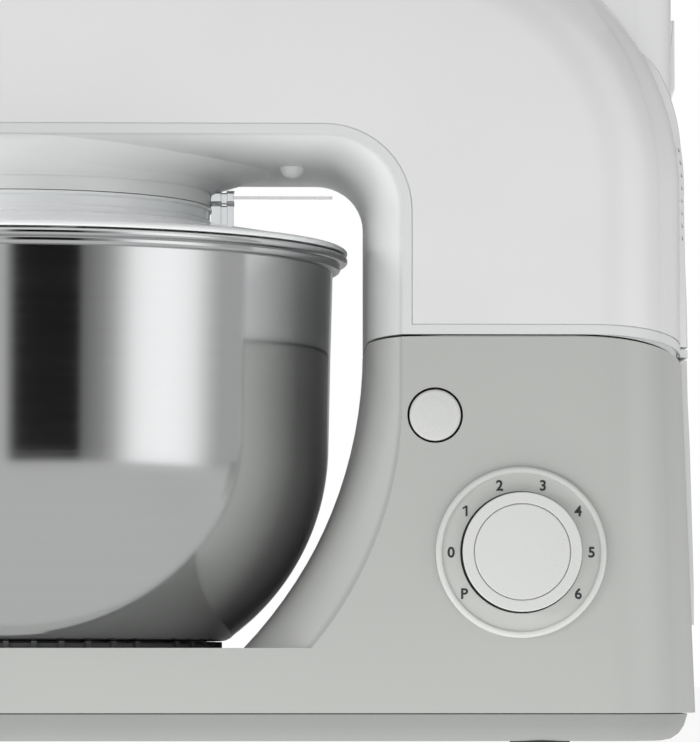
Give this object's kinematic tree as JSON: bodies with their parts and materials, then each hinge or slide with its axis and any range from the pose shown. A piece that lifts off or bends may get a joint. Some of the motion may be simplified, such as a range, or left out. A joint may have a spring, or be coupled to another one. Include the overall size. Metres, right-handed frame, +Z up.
{
  "type": "stand mixer",
  "caption": "Tilt-head stand mixer with a white head, a grey base with a speed dial, a steel bowl under a clear guard, a whisk and a rear-mounted blender jar",
  "frame": {"origin": "on the counter under the centre of the object's box, at the soles of the feet", "axes": "+Z up, +X from the mixing bowl towards the rear column, -Y the side with the speed dial"},
  "size_m": [0.38, 0.25, 0.5043],
  "materials": {
    "grey_casing": "semi-gloss moulded plastic",
    "plinth_grey": "satin moulded plastic",
    "white_gloss": "gloss moulded plastic",
    "frame_white": "satin off-white moulded plastic",
    "dial_cap_grey": "satin plastic disc",
    "dial_ring_grey": "translucent grey plastic ring",
    "clear_plastic": "transparent polycarbonate",
    "jar_clear": "clear glass",
    "bowl_steel": "spun and brushed stainless steel",
    "bright_steel": "ground steel",
    "zinc_steel": "zinc-plated pressed steel",
    "stack_steel": "laminated electrical steel",
    "cast_alloy": "die-cast alloy",
    "brass_gear": "cut brass",
    "copper_wire": "enamelled copper winding",
    "inner_dark": "glass-filled black plastic",
    "seat_dark": "ribbed soft black plastic",
    "board_green": "printed circuit board",
    "carbon_black": "carbon brush in a holder",
    "foot_rubber": "moulded rubber",
    "gasket_red": "silicone ring"
  },
  "bodies": {
    "base": {"body_casing": "grey_casing", "base_plate": "plinth_grey", "feet": "foot_rubber", "base_screws": "zinc_steel", "bowl_seat": "seat_dark", "column_cover": "inner_dark", "hinge_bracket": "zinc_steel", "hinge_pin": "bright_steel", "cord_gland": "seat_dark", "speed_switch": "inner_dark", "control_board": "board_green", "dial_bezel": "dial_ring_grey", "button_guide": "inner_dark", "button_spring": "bright_steel"},
    "dial": {"dial_knob": "dial_cap_grey", "dial_cap": "dial_cap_grey", "dial_shaft": "bright_steel"},
    "button": {"release_button": "white_gloss", "latch_bar": "zinc_steel"},
    "head": {"arm_shell": "white_gloss", "arm_frame": "frame_white", "striker": "zinc_steel", "splash_guard": "clear_plastic", "guard_ring": "frame_white", "guard_clip": "clear_plastic", "gear_housing": "cast_alloy", "ring_gear": "bright_steel", "bearings": "bright_steel", "motor_frame": "inner_dark", "stator": "stack_steel", "field_coils": "copper_wire", "brushes": "carbon_black", "drive_belt": "foot_rubber", "drive_tower": "white_gloss"},
    "hub": {"main_shaft": "bright_steel", "drive_pulley": "inner_dark", "planet_hub": "frame_white"},
    "tool": {"tool_shaft": "bright_steel", "planet_pinion": "brass_gear", "whisk_ferrule": "bright_steel", "whisk_wires": "bright_steel"},
    "motor": {"motor_shaft": "bright_steel", "armature": "stack_steel", "commutator": "copper_wire", "fan": "inner_dark", "motor_pulley": "bright_steel", "drive_dog": "inner_dark"},
    "jar": {"jar_collar": "white_gloss", "jar_gasket": "gasket_red", "jar_glass": "jar_clear"},
    "blade": {"driven_dog": "inner_dark", "blade_unit": "bright_steel"},
    "lid": {"jar_lid": "inner_dark"},
    "cap": {"jar_cap": "clear_plastic"},
    "bowl": {"mixing_bowl": "bowl_steel"}
  },
  "joints": [
    {"name": "head_tilt", "type": "hinge", "parent": "base", "child": "head", "pos_m": [0.169, 0, 0.168], "axis": [0, 1, 0], "range_deg": [0, 36]},
    {"name": "dial_turn", "type": "hinge", "parent": "base", "child": "dial", "pos_m": [0.124, -0.08, 0.0698], "axis": [0, 1, 0], "range_deg": [-36, 216]},
    {"name": "button_press", "type": "slide", "parent": "base", "child": "button", "axis": [0, 1, 0], "range_m": [0, 0.004], "stiffness_N_per_m": 300, "deforming": ["button_spring"]},
    {"name": "bowl_turn", "type": "hinge", "parent": "base", "child": "bowl", "pos_m": [-0.062, 0, 0.038], "axis": [0, 0, 1], "range_deg": [0, 20]},
    {"name": "hub_spin", "type": "hinge", "parent": "head", "child": "hub", "pos_m": [-0.062, 0, 0.21], "axis": [0, 0, 1], "continuous": true},
    {"name": "tool_spin", "type": "hinge", "parent": "hub", "child": "tool", "pos_m": [-0.089, 0, 0.2], "axis": [0, 0, 1], "continuous": true},
    {"name": "motor_spin", "type": "hinge", "parent": "head", "child": "motor", "pos_m": [0.129, 0, 0.2], "axis": [0, 0, 1], "continuous": true},
    {"name": "jar_lift", "type": "slide", "parent": "head", "child": "jar", "axis": [0, 0, 1], "range_m": [0, 0.04]},
    {"name": "blade_spin", "type": "hinge", "parent": "jar", "child": "blade", "pos_m": [0.129, 0, 0.34], "axis": [0, 0, 1], "continuous": true},
    {"name": "jar_lid_lift", "type": "slide", "parent": "jar", "child": "lid", "axis": [0, 0, 1], "range_m": [0, 0.03]},
    {"name": "jar_cap_lift", "type": "slide", "parent": "lid", "child": "cap", "axis": [0, 0, 1], "range_m": [0, 0.025]}
  ],
  "couplings": [
    {"joint": "tool_spin", "follows": "hub_spin", "ratio": -3},
    {"joint": "motor_spin", "follows": "hub_spin", "ratio": 4.6667},
    {"joint": "blade_spin", "follows": "hub_spin", "ratio": 4.6667}
  ]
}
